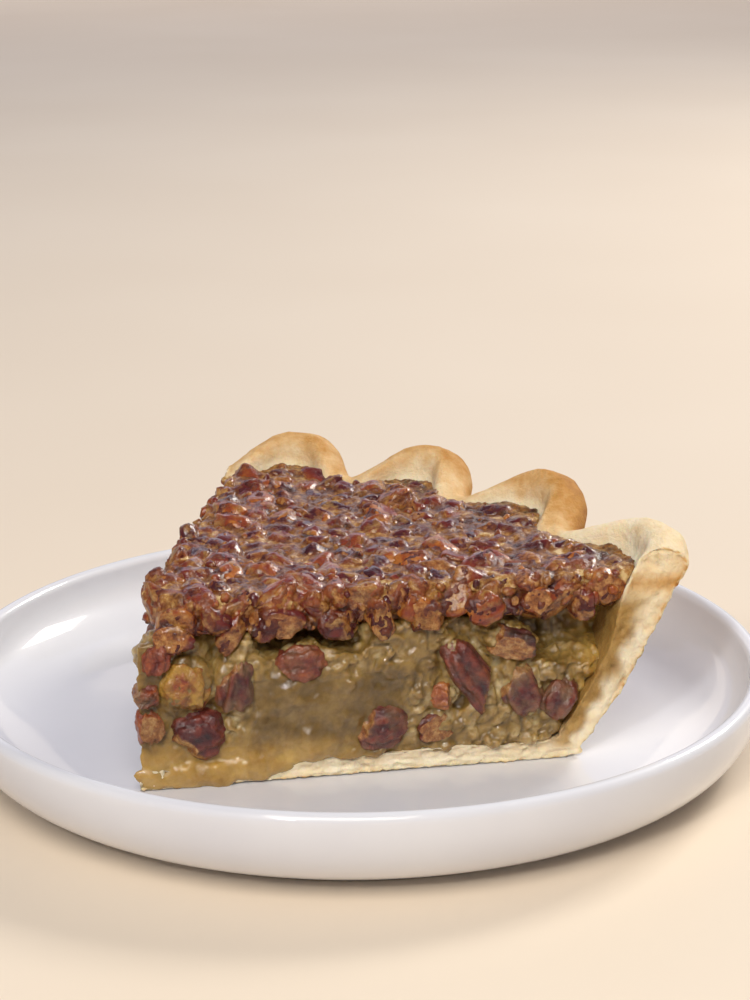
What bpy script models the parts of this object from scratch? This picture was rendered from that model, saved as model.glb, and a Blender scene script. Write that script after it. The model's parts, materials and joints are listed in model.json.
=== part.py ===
"""A slice of deep pecan pie on a small white plate, at its real size.

Metres, +Z up. The origin is the centre of the plate's underside, on the table. The slice is a
fifth of a nine inch pie. Its own frame has the pie's centre at the origin, the front cut along
+X and the left cut SLICE_ANGLE round from it, and stands on the floor of the plate.
"""

import math
import random

import bmesh
import bpy
from mathutils import Matrix, Vector, noise

MM = 0.001
FIT_GAP = 0.35 * MM  # between pieces that touch

# Plate: a turned and glazed coupe with a curved side and a low foot ring
PLATE_RADIUS = 90 * MM
PLATE_HEIGHT = 20 * MM
PLATE_FLOOR = 6.3 * MM
PLATE_BASE = 1.5 * MM  # hollow under the middle, inside the foot ring
FLAT_RADIUS = 68 * MM
FOOT_RADIUS = 76 * MM
FOOT_WIDTH = 5 * MM
LIP_RADIUS = 1.8 * MM
PLATE_STEPS = 48

# Slice
TIP = (-45 * MM, -46 * MM)
FRONT_CUT_TURN = math.radians(10)
SLICE_ANGLE = math.radians(72)
SPIN_STEPS = 36

# Pastry: a flat base, a sloping wall and a fluted lip that stands above the filling
BASE_THICKNESS = 4.0 * MM
BASE_RADIUS = 91 * MM
LIP_CENTRE = 107.7 * MM
LIP_HALF_WIDTH = 4.8 * MM
LIP_HEIGHT = 43.6 * MM
FLUTE_REACH = 5.9 * MM  # how far a flute leans out and in
FLUTE_ROUNDNESS = 1.5  # above 1, a crest is broader than a pinch
FLUTE_RISE = 3.4 * MM
OUTER_FLUTE_FOOT = 20 * MM  # the wall's outside is plain below this height
INNER_FLUTE_FOOT = 33 * MM  # its inside is plain as high as the custard
FLUTE_FULL = 38 * MM  # both are fully fluted above this height
# Where the flutes turn, in degrees from the front cut: a crest leans out, a pinch leans in
FLUTE_TURNS = (-7, 6, 18, 28, 37.5, 46, 55, 64, 73)

# Custard and the baked pecan layer on it
FILLING_TOP = 31.6 * MM
TOPPING_BASE = 32.0 * MM
TOPPING_CORE_TOP = 38.4 * MM
LAYER_RECESS = 1.2 * MM  # the syrup stands back from the cuts, between the nuts
RING_COUNT = 11
RING_SPACING = 9.0 * MM
PIECE_SPACING = 9.9 * MM
EDGE_SPACING = 7.8 * MM
EDGE_COUNT = 12
FRONT_EDGE_HEIGHTS = (34.9 * MM, 38.4 * MM)
LEFT_EDGE_HEIGHTS = (36.5 * MM,)
PIECE_SEED = 11

PASTRY = ("baked shortcrust pastry", (0.80, 0.60, 0.34), 0.75, 0.0)
CUSTARD = ("set syrup custard", (0.46, 0.35, 0.15), 0.25, 0.0)
NUT_LAYER = ("baked pecans in syrup", (0.30, 0.10, 0.05), 0.25, 0.0)
NUT = ("pecan kernel", (0.32, 0.11, 0.06), 0.35, 0.0)
GLAZE = ("white glazed stoneware", (0.86, 0.86, 0.87), 0.12, 0.0)

# Kernels that show in the front cut: distance along the cut, height above the plate's floor,
# length, width, thickness, all in millimetres, and the tilt of the length in degrees
FRONT_KERNELS = (
    (4.2, 28.0, 7.5, 5.8, 8.0, 80),
    (2.2, 20.2, 6.0, 4.6, 8.0, 20),
    (2.8, 12.6, 9.0, 5.6, 8.0, 100),
    (10.2, 21.2, 11.0, 7.6, 7.0, 78),
    (12.6, 10.8, 11.0, 8.6, 7.5, 50),
    (20.4, 22.2, 11.0, 7.0, 7.0, 86),
    (34.1, 24.6, 9.6, 7.6, 8.0, 10),
    (51.0, 9.6, 11.0, 7.6, 7.0, 35),
    (62.7, 8.6, 9.5, 5.6, 6.0, 12),
    (70.4, 19.3, 17.5, 8.0, 8.0, -57),
    (64.0, 15.6, 5.6, 5.2, 5.0, 0),
    (78.4, 26.2, 12.5, 6.6, 7.0, -18),
    (80.6, 15.4, 11.5, 7.6, 8.0, -68),
    (89.0, 12.8, 8.8, 7.0, 7.0, 65),
)
# Nuts of the top layer that hang lower than the rest, at the front cut
HANGING_NUTS = (
    (13.6, 33.2, 8.6, 6.6, 6.0, 8),
    (21.0, 34.2, 8.0, 7.0, 6.0, 60),
    (28.4, 32.8, 9.6, 5.2, 5.5, 55),
    (53.0, 33.0, 9.0, 5.2, 5.0, 5),
)
LEFT_KERNEL_COUNT = 6
LEFT_KERNEL_SEED = 5
KERNEL_DEPTH = 0.22  # how far a kernel's middle lies behind the cut, as a share of its thickness
KERNEL_RIDGES = 0.10
HANGING_DEPTH = 1.2 * MM
HANGING_RIDGES = 0.06
TIP_BLUNTNESS = 1.8 * MM  # the custard stands back from the sharp tip of the pastry
TOPPING_REACH = 99 * MM  # points of the layer farther out than this follow the inside of the lip
TOPPING_LIP_GAP = 3.6 * FIT_GAP


def clear_scene():
    for obj in list(bpy.data.objects):
        bpy.data.objects.remove(obj, do_unlink=True)


def make_collection(name):
    collection = bpy.data.collections.new(name)
    bpy.context.scene.collection.children.link(collection)
    return collection


def material(words):
    name, colour, roughness, metallic = words
    made = bpy.data.materials.get(name) or bpy.data.materials.new(name)
    made.use_nodes = True
    shader = made.node_tree.nodes["Principled BSDF"]
    shader.inputs["Base Color"].default_value = (*colour, 1.0)
    shader.inputs["Roughness"].default_value = roughness
    shader.inputs["Metallic"].default_value = metallic
    return made


def object_from(bm, name, collection, finish=None):
    mesh = bpy.data.meshes.new(name)
    bm.to_mesh(mesh)
    bm.free()
    made = bpy.data.objects.new(name, mesh)
    collection.objects.link(made)
    if finish:
        mesh.materials.append(material(finish))
    return made


def smoothstep(low, high, value):
    share = min(1.0, max(0.0, (value - low) / (high - low)))
    return share * share * (3 - 2 * share)


def bend(start, corner, end, steps):
    """Points of a quadratic curve, without its start."""
    points = []
    for step in range(1, steps + 1):
        t = step / steps
        points.append(
            tuple(
                (1 - t) ** 2 * a + 2 * t * (1 - t) * b + t * t * c
                for a, b, c in zip(start, corner, end)
            )
        )
    return points


def between(points, height):
    """Radius at a height on a line of (radius, height) points that climbs."""
    for (r0, h0), (r1, h1) in zip(points, points[1:]):
        if h0 <= height <= h1 and h1 > h0:
            return r0 + (r1 - r0) * (height - h0) / (h1 - h0)
    return points[0][0] if height < points[0][1] else points[-1][0]


# The plate


def plate_profile():
    """Half section of the plate, from the middle of its floor, over the lip and down to the foot."""
    lip_centre = (PLATE_RADIUS - LIP_RADIUS, PLATE_HEIGHT - LIP_RADIUS)
    inner_lip = (lip_centre[0] - LIP_RADIUS, lip_centre[1])
    profile = [(0.0, PLATE_FLOOR), (FLAT_RADIUS, PLATE_FLOOR)]
    profile += bend(profile[-1], (inner_lip[0] - 0.5 * MM, PLATE_FLOOR + 0.6 * MM), inner_lip, 5)
    for degrees in (135, 90, 45, 0):
        angle = math.radians(degrees)
        profile.append(
            (
                lip_centre[0] + LIP_RADIUS * math.cos(angle),
                lip_centre[1] + LIP_RADIUS * math.sin(angle),
            )
        )
    foot_top = (FOOT_RADIUS + 0.8 * MM, PLATE_BASE)
    profile += bend(profile[-1], (PLATE_RADIUS - 0.4 * MM, 4 * MM), foot_top, 5)
    profile += [
        (FOOT_RADIUS, 0.0),
        (FOOT_RADIUS - FOOT_WIDTH, 0.0),
        (FOOT_RADIUS - FOOT_WIDTH - 1.5 * MM, PLATE_BASE),
        (0.0, PLATE_BASE),
    ]
    return profile


def make_plate(collection):
    bm = bmesh.new()
    line = [bm.verts.new((r, 0, z)) for r, z in plate_profile()]
    for a, b in zip(line, line[1:]):
        bm.edges.new((a, b))
    plate = object_from(bm, "plate", collection, GLAZE)
    turn = plate.modifiers.new("Turned", "SCREW")
    turn.axis = "Z"
    turn.steps = turn.render_steps = PLATE_STEPS
    turn.use_merge_vertices = True
    turn.merge_threshold = 0.0001
    turn.use_smooth_shade = True
    return plate


# The pastry shell


def flute(theta):
    """From -1 in a pinch to 1 on a crest, for an angle round from the front cut in radians."""
    degrees = math.degrees(theta)
    sign = -1
    for low, high in zip(FLUTE_TURNS, FLUTE_TURNS[1:]):
        if low <= degrees <= high:
            swing = sign * math.cos(math.pi * (degrees - low) / (high - low))
            return 1 - 2 * ((1 - swing) / 2) ** FLUTE_ROUNDNESS
        sign = -sign
    return -1.0


def fluted(radius, height, theta, foot):
    """Where a point of the plain pastry section goes once the lip is pinched."""
    strength = smoothstep(foot, FLUTE_FULL, height)
    step = math.radians(0.5)
    slope = FLUTE_REACH * (flute(theta + step) - flute(theta - step)) / (2 * step * LIP_CENTRE)
    widening = 1 + (math.hypot(1, slope) - 1) * strength
    lean = flute(theta) * strength
    return (
        LIP_CENTRE + (radius - LIP_CENTRE) * widening + FLUTE_REACH * lean,
        height + FLUTE_RISE * lean,
    )


def pastry_section():
    """The plain section as two lines of (radius, height), outer and inner, that meet on the lip."""
    lip_low = LIP_HEIGHT - LIP_HALF_WIDTH
    diagonal = LIP_HALF_WIDTH * math.sqrt(0.5)
    outer = [(0.0, 0.0), (30 * MM, 0.0), (60 * MM, 0.0), (BASE_RADIUS, 0.0)]
    outer += [(94 * MM, 2.2 * MM), (99 * MM, 9 * MM), (105 * MM, 18.5 * MM), (108.6 * MM, 27 * MM)]
    outer += [(110.4 * MM, 34 * MM), (LIP_CENTRE + LIP_HALF_WIDTH, lip_low)]
    outer += [(LIP_CENTRE + diagonal, lip_low + diagonal), (LIP_CENTRE, LIP_HEIGHT)]
    inner = [(0.0, BASE_THICKNESS), (30 * MM, BASE_THICKNESS), (60 * MM, BASE_THICKNESS)]
    inner += [(86 * MM, BASE_THICKNESS), (89.5 * MM, 6.4 * MM), (93.5 * MM, 12 * MM)]
    inner += [(98 * MM, 20 * MM), (100.6 * MM, 27 * MM), (101.6 * MM, 33 * MM)]
    inner += [(LIP_CENTRE - LIP_HALF_WIDTH, lip_low)]
    inner += [(LIP_CENTRE - diagonal, lip_low + diagonal), (LIP_CENTRE, LIP_HEIGHT)]
    return outer, inner


def inner_radius(theta, height):
    """Radius of the pastry's inside at an angle and a height, flutes included."""
    inside = [fluted(r, h, theta, INNER_FLUTE_FOOT) for r, h in pastry_section()[1]]
    return between(inside[3:-1], height)


def spin_section(rows, steps):
    """A solid slice from rows of (radius, height) points: each pair of rows is a strip of faces."""
    bm = bmesh.new()
    grid = [[bm.verts.new((r, 0, h)) for r, h in row] for row in rows]
    for low, high in zip(grid, grid[1:]):
        for i in range(len(low) - 1):
            bm.faces.new((low[i], low[i + 1], high[i + 1], high[i]))
    bmesh.ops.remove_doubles(bm, verts=bm.verts[:], dist=0.01 * MM)
    bmesh.ops.spin(
        bm,
        geom=bm.verts[:] + bm.edges[:] + bm.faces[:],
        cent=(0, 0, 0),
        axis=(0, 0, 1),
        angle=SLICE_ANGLE,
        steps=steps,
        use_duplicate=False,
    )
    bmesh.ops.remove_doubles(bm, verts=bm.verts[:], dist=0.01 * MM)
    bmesh.ops.dissolve_degenerate(bm, dist=0.005 * MM, edges=bm.edges[:])
    bmesh.ops.recalc_face_normals(bm, faces=bm.faces[:])
    return bm


def join_level_faces(bm):
    """Makes one face of each level top and bottom, so that no triangles are spent inside them."""
    bm.normal_update()
    level = [face for face in bm.faces if abs(face.normal.z) > 0.9999]
    edges = {edge for face in level for edge in face.edges}
    bmesh.ops.dissolve_limit(bm, angle_limit=math.radians(0.5), edges=list(edges))


def polar(point):
    return math.hypot(point.x, point.y), math.atan2(point.y, point.x)


def on_front(theta):
    return abs(theta) < math.radians(0.05)


def on_left(theta):
    return abs(theta - SLICE_ANGLE) < math.radians(0.05)


def inward(theta):
    """Unit vector from a cut face into the slice."""
    if on_front(theta):
        return Vector((0, 1, 0))
    return Vector((math.sin(SLICE_ANGLE), -math.cos(SLICE_ANGLE), 0))


def make_crust(collection):
    outer, inner = pastry_section()
    middle = [((a + c) / 2, (b + d) / 2) for (a, b), (c, d) in zip(outer, inner)]
    bm = spin_section([outer, middle, inner], SPIN_STEPS)
    for vertex in bm.verts:
        radius, theta = polar(vertex.co)
        height = vertex.co.z
        if radius < 1 * MM:
            continue
        outside = radius > between(inner[3:-1], height) + 2 * MM
        foot = OUTER_FLUTE_FOOT if outside else INNER_FLUTE_FOOT
        new_radius, new_height = fluted(radius, height, theta, foot)
        vertex.co = (new_radius * math.cos(theta), new_radius * math.sin(theta), new_height)
        bumps = noise.noise(vertex.co * 130) * 0.6 * MM
        if height > 1 * MM and outside:
            vertex.co += Vector((math.cos(theta), math.sin(theta), 0.4)) * bumps
        if on_front(theta) or on_left(theta):
            flakes = noise.noise(vertex.co * 420) * 0.9 * MM
            vertex.co += inward(theta) * (flakes + 0.2 * MM)
    return object_from(bm, "crust", collection, PASTRY)


# Kernels and nut pieces


def nut_piece(size, seed, subdivisions, ridges=0.0):
    """A chopped kernel centred on the origin, its length along X: a lump with soft grooves."""
    bm = bmesh.new()
    bmesh.ops.create_icosphere(bm, subdivisions=subdivisions, radius=1.0)
    offset = Vector((seed * 3.7, seed * 1.3, 0))
    for vertex in bm.verts:
        x, y, z = vertex.co
        groove = ridges * math.cos(4 * math.atan2(z, y)) * (1 - x * x)
        grain = 0.16 * noise.noise(vertex.co * 1.6 + offset)
        vertex.co *= 1 + groove + grain
        vertex.co.x *= size[0] / 2
        vertex.co.y *= size[1] / 2
        vertex.co.z *= size[2] / 2
    return bm


def grow(bm, distance):
    bm.normal_update()
    for vertex in bm.verts:
        vertex.co += vertex.normal * distance


def against_cut(along, height, tilt, depth, side):
    """Places a piece at a cut: its length lies in the cut face and its thickness points inward."""
    lie = Matrix.Rotation(math.pi / 2, 4, "X")
    tilted = Matrix.Rotation(math.radians(-tilt), 4, "Y")
    place = Matrix.Translation((along, depth, height))
    if side == "left":
        mirror = Matrix.Scale(-1, 4, (0, 1, 0))
        return Matrix.Rotation(SLICE_ANGLE, 4, "Z") @ mirror @ place @ tilted @ lie
    return place @ tilted @ lie


def left_kernels():
    """Kernels of the cut that faces away, drawn by the same sizes as those in front."""
    draw = random.Random(LEFT_KERNEL_SEED)
    heights = (26.0, 11.0, 20.0)
    rows = []
    for i in range(LEFT_KERNEL_COUNT):
        length = draw.uniform(9.0, 12.5)
        width = draw.uniform(6.2, 7.6)
        along = 16.0 + 8.8 * i + draw.uniform(-0.6, 0.6)
        height = heights[i % 3] + draw.uniform(-1.0, 1.0)
        rows.append((along, height, length, width, 7.0, draw.uniform(-25, 25)))
    return rows


def kernel_rows():
    rows = [("front", i, row) for i, row in enumerate(FRONT_KERNELS, 1)]
    return rows + [("left", i, row) for i, row in enumerate(left_kernels(), 1)]


def kernel_mesh(side, index, row, extra=0.0):
    along, height, length, width, thickness, tilt = row
    size = (length * MM, width * MM, thickness * MM)
    bm = nut_piece(size, index + (50 if side == "left" else 0), 2, KERNEL_RIDGES)
    if extra:
        grow(bm, extra)
    bm.transform(against_cut(along * MM, height * MM, tilt, KERNEL_DEPTH * size[2], side))
    if side == "left":
        bmesh.ops.reverse_faces(bm, faces=bm.faces[:])
    return bm


def hanging_mesh(index, row, extra=0.0):
    along, height, length, width, thickness, tilt = row
    bm = nut_piece((length * MM, width * MM, thickness * MM), 90 + index, 2, HANGING_RIDGES)
    if extra:
        grow(bm, extra)
    bm.transform(against_cut(along * MM, height * MM, tilt, HANGING_DEPTH, "front"))
    return bm


def make_kernels(collection):
    made = []
    for side, index, row in kernel_rows():
        bm = kernel_mesh(side, index, row)
        made.append(object_from(bm, f"pecan_{side}_{index:02d}", collection, NUT))
    return made


# The custard


def recess(along, height, side):
    """How far the custard stands back from the cut, in metres: hollows, a sag and a rough skin."""
    x, h = along / MM, height / MM
    rough = 0.8 * noise.noise(Vector((x * 0.16, h * 0.16, 7.0 if side == "left" else 2.0)))
    rough += 0.5 * noise.noise(Vector((x * 0.45, h * 0.45, 3.0)))
    if side == "left":
        x = 100 - x
    under_layer = 4.5 * smoothstep(25.5, 30, h) * smoothstep(26, 34, x) * (1 - smoothstep(42, 52, x))
    far_hollow = 5.5 * smoothstep(20, 26, h) * smoothstep(83, 88, x)
    by_wall = 3.5 * smoothstep(90, 96, x)
    swelling = 1.2 * smoothstep(18, 34, x) * (1 - smoothstep(58, 68, x)) * (1 - smoothstep(20, 28, h))
    return max(-1.2, 0.9 + rough + max(under_layer, far_hollow, by_wall) - swelling) * MM


def make_filling(collection, cutters):
    inside = pastry_section()[1][3:9]
    floor = BASE_THICKNESS + FIT_GAP
    heights = [floor + (FILLING_TOP - floor) * j / 6 for j in range(7)]
    columns = 19
    rows = []
    for h in heights:
        reach = between(inside, h - FIT_GAP) - 1.2 * FIT_GAP
        rows.append([(reach * i / columns, h) for i in range(columns + 1)])
    bm = spin_section(rows, 8)
    for vertex in bm.verts:
        radius, theta = polar(vertex.co)
        if radius < 1 * MM:
            blunt = TIP_BLUNTNESS + noise.noise(Vector((0, 0, vertex.co.z * 200))) * MM
            vertex.co.x += blunt * math.cos(SLICE_ANGLE / 2)
            vertex.co.y += blunt * math.sin(SLICE_ANGLE / 2)
            continue
        for side, here in (("front", on_front(theta)), ("left", on_left(theta))):
            if here:
                back = min(recess(radius, vertex.co.z, side), 0.3 * radius)
                vertex.co += inward(theta) * back
    join_level_faces(bm)
    filling = object_from(bm, "filling", collection, CUSTARD)
    cut = filling.modifiers.new("Pockets", "BOOLEAN")
    cut.operation = "DIFFERENCE"
    cut.operand_type = "COLLECTION"
    cut.collection = cutters
    cut.solver = "MANIFOLD"
    return filling


def make_cutters(cutters):
    """Grown copies of the kernels and of the hanging nuts, which leave their pockets in the custard."""
    for side, index, row in kernel_rows():
        cutter = object_from(kernel_mesh(side, index, row, FIT_GAP), f"pocket_{side}_{index}", cutters)
        cutter.hide_render = True
        cutter.display_type = "WIRE"
    for index, row in enumerate(HANGING_NUTS, 1):
        cutter = object_from(hanging_mesh(index, row, FIT_GAP), f"pocket_hanging_{index}", cutters)
        cutter.hide_render = True
        cutter.display_type = "WIRE"


# The baked pecan layer


def layer_core():
    """The syrup that holds the nuts together: a slab out to the inside of the lip."""
    heights = (TOPPING_BASE, 35.2 * MM, TOPPING_CORE_TOP)
    rows = [[(share * 100 * MM, h) for share in (0.05, 0.25, 0.5, 0.75, 1.0)] for h in heights]
    bm = spin_section(rows, SPIN_STEPS)
    for vertex in bm.verts:
        radius, theta = polar(vertex.co)
        margin = math.asin(LAYER_RECESS / radius)
        theta = margin + theta * (SLICE_ANGLE - 2 * margin) / SLICE_ANGLE
        if radius > TOPPING_REACH:
            near = [vertex.co.z + step * 0.8 * MM for step in (-2, -1, 0, 1, 2)]
            radius = min(inner_radius(theta, height) for height in near) - TOPPING_LIP_GAP
        vertex.co.x = radius * math.cos(theta)
        vertex.co.y = radius * math.sin(theta)
    join_level_faces(bm)
    return bm


def keep_main_body(mesh):
    """Drops slivers that a union leaves beside the one body it makes."""
    bm = bmesh.new()
    bm.from_mesh(mesh)
    left = set(bm.verts)
    bodies = []
    while left:
        body = {left.pop()}
        edge = list(body)
        while edge:
            vertex = edge.pop()
            for link in vertex.link_edges:
                other = link.other_vert(vertex)
                if other in left:
                    left.remove(other)
                    body.add(other)
                    edge.append(other)
        bodies.append(body)
    bodies.sort(key=len)
    for body in bodies[:-1]:
        bmesh.ops.delete(bm, geom=list(body), context="VERTS")
    bm.to_mesh(mesh)
    bm.free()


def top_pieces():
    """Rings of chopped nuts over the layer, then a row along each cut."""
    draw = random.Random(PIECE_SEED)
    for ring in range(RING_COUNT):
        radius = 7 * MM + ring * RING_SPACING
        count = max(1, round(radius * SLICE_ANGLE / PIECE_SPACING))
        for i in range(count):
            theta = SLICE_ANGLE * (i + 0.5 + draw.uniform(-0.22, 0.22)) / count
            size = [draw.uniform(7.5, 11.5), draw.uniform(5.6, 7.4), draw.uniform(5.0, 6.6)]
            spot = radius + draw.uniform(-1.2, 1.2) * MM
            height = TOPPING_CORE_TOP + draw.uniform(-0.9, 0.2) * MM
            yield size, spot, theta, height, draw.uniform(0, math.tau), draw.uniform(-0.35, 0.35)
    rows = [("front", height) for height in FRONT_EDGE_HEIGHTS]
    rows += [("left", height) for height in LEFT_EDGE_HEIGHTS]
    for number, (side, height) in enumerate(rows):
        for i in range(EDGE_COUNT):
            spot = 8 * MM + (i + 0.5 * (number % 2) + draw.uniform(-0.1, 0.4)) * EDGE_SPACING
            margin = draw.uniform(-0.5, 0.9) * MM / max(spot, 5 * MM)
            theta = margin if side == "front" else SLICE_ANGLE - margin
            size = [draw.uniform(7.5, 10.0), draw.uniform(5.2, 6.6), draw.uniform(5.2, 6.2)]
            along = theta + draw.uniform(-0.6, 0.6)
            yield size, spot, theta, height, along, draw.uniform(-0.3, 0.3)


def make_topping(collection, guides):
    for number, (size, spot, theta, height, turn, lean) in enumerate(top_pieces()):
        reach = 0.5 * max(size[0], size[1]) * MM * 1.15
        angles = (theta - reach / spot, theta, theta + reach / spot)
        wall = min(inner_radius(angle, height) for angle in angles)
        spot = min(spot, wall - reach - 3 * FIT_GAP)
        floor = TOPPING_BASE + 0.5 * size[2] * MM * 1.1
        centre = Vector((spot * math.cos(theta), spot * math.sin(theta), max(height, floor)))
        bm = nut_piece([side * MM for side in size], number, 1)
        turned = Matrix.Rotation(turn, 4, "Z") @ Matrix.Rotation(lean, 4, "Y")
        bm.transform(Matrix.Translation(centre) @ turned)
        object_from(bm, f"nut_{number}", guides)
    for index, row in enumerate(HANGING_NUTS, 1):
        object_from(hanging_mesh(index, row), f"nut_hanging_{index}", guides)
    topping = object_from(layer_core(), "pecan_topping", collection, NUT_LAYER)
    join = topping.modifiers.new("Joined", "BOOLEAN")
    join.operation = "UNION"
    join.operand_type = "COLLECTION"
    join.collection = guides
    join.solver = "MANIFOLD"
    graph = bpy.context.evaluated_depsgraph_get()
    joined = bpy.data.meshes.new_from_object(topping.evaluated_get(graph))
    topping.modifiers.remove(join)
    keep_main_body(joined)
    topping.data = joined
    for helper in list(guides.objects):
        bpy.data.objects.remove(helper, do_unlink=True)
    bpy.data.collections.remove(guides)
    return topping


def main():
    clear_scene()
    pie = make_collection("pecan pie slice")
    cutters = make_collection("pockets")
    guides = make_collection("loose nuts")
    seat = bpy.data.objects.new("slice_seat", None)
    pie.objects.link(seat)
    seat.location = (TIP[0], TIP[1], PLATE_FLOOR + FIT_GAP)
    seat.rotation_euler = (0, 0, FRONT_CUT_TURN)
    make_plate(pie)
    make_cutters(cutters)
    sliced = [make_crust(pie), make_filling(pie, cutters), make_topping(pie, guides)]
    sliced += make_kernels(pie)
    for piece in sliced + list(cutters.objects):
        piece.parent = seat
    bpy.context.view_layer.update()


main()
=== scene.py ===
import json
import math
import random

import bmesh
import bpy
from mathutils import Matrix, Vector, noise
from mathutils.bvhtree import BVHTree

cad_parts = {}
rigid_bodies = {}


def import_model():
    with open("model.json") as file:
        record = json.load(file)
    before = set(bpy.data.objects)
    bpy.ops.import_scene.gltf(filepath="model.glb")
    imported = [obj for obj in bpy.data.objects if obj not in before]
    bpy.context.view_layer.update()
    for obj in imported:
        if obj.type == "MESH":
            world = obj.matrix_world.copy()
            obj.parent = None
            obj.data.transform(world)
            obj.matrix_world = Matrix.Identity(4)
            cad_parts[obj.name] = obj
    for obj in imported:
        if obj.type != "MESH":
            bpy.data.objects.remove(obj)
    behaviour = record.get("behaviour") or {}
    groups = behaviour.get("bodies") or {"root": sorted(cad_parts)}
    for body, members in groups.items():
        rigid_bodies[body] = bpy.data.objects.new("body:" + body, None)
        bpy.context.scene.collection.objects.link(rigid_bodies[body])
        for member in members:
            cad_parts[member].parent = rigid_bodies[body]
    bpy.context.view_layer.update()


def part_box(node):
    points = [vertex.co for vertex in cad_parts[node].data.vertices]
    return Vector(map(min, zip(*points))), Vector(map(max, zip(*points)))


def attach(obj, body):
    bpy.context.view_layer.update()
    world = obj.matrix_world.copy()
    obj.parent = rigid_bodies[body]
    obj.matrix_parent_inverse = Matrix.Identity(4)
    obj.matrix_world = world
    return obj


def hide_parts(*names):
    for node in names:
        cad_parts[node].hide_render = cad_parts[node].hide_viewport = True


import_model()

MM = 0.001


# The plate: a small coupe plate of white stoneware, turned with a curved side and a low foot ring.
# It was dipped in clear glaze, and the foot was wiped bare so that it didn't stick in the kiln.

PLATE_FLOOR = 6.3 * MM
PLATE_BASE = 1.5 * MM
PLATE_FLAT = 68 * MM
FOOT_RADIUS = 76 * MM
FOOT_WIDTH = 5 * MM
FOOT_EDGE = 0.6 * MM
LIP_RADIUS = 1.8 * MM
PLATE_STEPS = 240
PLATE_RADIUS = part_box("plate")[1][0]
PLATE_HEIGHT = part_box("plate")[1][2]


def linear(code):
    """The linear colour of an sRGB hex value."""
    shares = [int(code[i : i + 2], 16) / 255 for i in (1, 3, 5)]
    return (*[s / 12.92 if s <= 0.04045 else ((s + 0.055) / 1.055) ** 2.4 for s in shares], 1.0)


def feed(node, inputs):
    """Sets a node's inputs. Each is a value, a socket, or a node whose first output feeds it."""
    for key, value in inputs.items():
        if isinstance(value, bpy.types.Node):
            value = value.outputs[0]
        if isinstance(value, bpy.types.NodeSocket):
            node.id_data.links.new(value, node.inputs[key])
        else:
            node.inputs[key].default_value = value


def add_node(tree, kind, inputs=None, stops=None, **settings):
    """Adds a node with its settings and inputs. The stops are the places and colours of a ramp."""
    made = tree.nodes.new(kind)
    for name, value in settings.items():
        setattr(made, name, value)
    feed(made, inputs or {})
    for i, (place, code) in enumerate((stops or {}).items()):
        bands = made.color_ramp.elements
        band = bands[i] if i < len(bands) else bands.new(place)
        band.position = place
        band.color = linear(code)
    return made


def new_material(name, *layers, **inputs):
    """A Principled material with the values that are the same all over its surface. Gives its tree,
    its shader, the object's own coordinates and the values of the mesh's layers too."""
    made = bpy.data.materials.new(name)
    made.use_nodes = True
    tree = made.node_tree
    shader = tree.nodes["Principled BSDF"]
    feed(shader, {key.replace("_", " "): value for key, value in inputs.items()})
    spot = add_node(tree, "ShaderNodeTexCoord").outputs["Object"]
    values = [add_node(tree, "ShaderNodeAttribute", attribute_name=layer) for layer in layers]
    return made, tree, shader, spot, *[value.outputs["Fac"] for value in values]


def features(spot, size, detail=2.0, roughness=0.5, distortion=0.0):
    """The inputs of a noise whose features are about a size across."""
    shape = {"Detail": detail, "Roughness": roughness, "Distortion": distortion}
    return {"Vector": spot, "Scale": 0.5 / size, **shape}


def object_of(data, name, *finishes):
    made = bpy.data.objects.new(name, data)
    bpy.context.scene.collection.objects.link(made)
    for finish in finishes:
        data.materials.append(finish)
    return made


def evaluated_mesh(obj):
    """The object's mesh with its modifiers applied; the object itself is removed."""
    graph = bpy.context.evaluated_depsgraph_get()
    mesh = bpy.data.meshes.new_from_object(obj.evaluated_get(graph))
    bpy.data.objects.remove(obj, do_unlink=True)
    return mesh


def serve(piece, slot, *nodes):
    """Every piece rides on the one body and stands for its CAD nodes, which it hides. The slot is not used.
    """
    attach(piece, "root")
    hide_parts(*nodes)


def bend(start, corner, end, steps):
    """Points of a quadratic curve, without its start."""
    points = []
    for step in range(1, steps + 1):
        t = step / steps
        weights = ((1 - t) ** 2, 2 * t * (1 - t), t * t)
        points.append(tuple(sum(w * p[i] for w, p in zip(weights, (start, corner, end))) for i in (0, 1)))
    return points


def arc(centre, radius, first, last, steps):
    """Points of an arc between two angles in degrees."""
    angles = [math.radians(first + (last - first) * i / steps) for i in range(steps + 1)]
    return [(centre[0] + radius * math.cos(a), centre[1] + radius * math.sin(a)) for a in angles]


def plate_profile():
    lip_centre = (PLATE_RADIUS - LIP_RADIUS, PLATE_HEIGHT - LIP_RADIUS)
    inner_lip = (lip_centre[0] - LIP_RADIUS, lip_centre[1])
    profile = [(PLATE_FLAT * share, PLATE_FLOOR) for share in (0, 0.25, 0.5, 0.75, 0.9, 1)]
    profile += bend(profile[-1], (inner_lip[0] - 0.5 * MM, PLATE_FLOOR + 0.6 * MM), inner_lip, 22)
    profile += arc(lip_centre, LIP_RADIUS, 180, 0, 14)[1:]
    foot_top = (FOOT_RADIUS + 0.8 * MM, PLATE_BASE)
    profile += bend(profile[-1], (PLATE_RADIUS - 0.4 * MM, 4 * MM), foot_top, 26)
    profile += arc((FOOT_RADIUS - FOOT_EDGE, FOOT_EDGE), FOOT_EDGE, 0, -90, 5)
    profile += arc((FOOT_RADIUS - FOOT_WIDTH + FOOT_EDGE, FOOT_EDGE), FOOT_EDGE, -90, -180, 5)
    profile += [(FOOT_RADIUS - FOOT_WIDTH - 1.5 * MM, PLATE_BASE), (30 * MM, PLATE_BASE), (0, PLATE_BASE)]
    return profile
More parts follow.
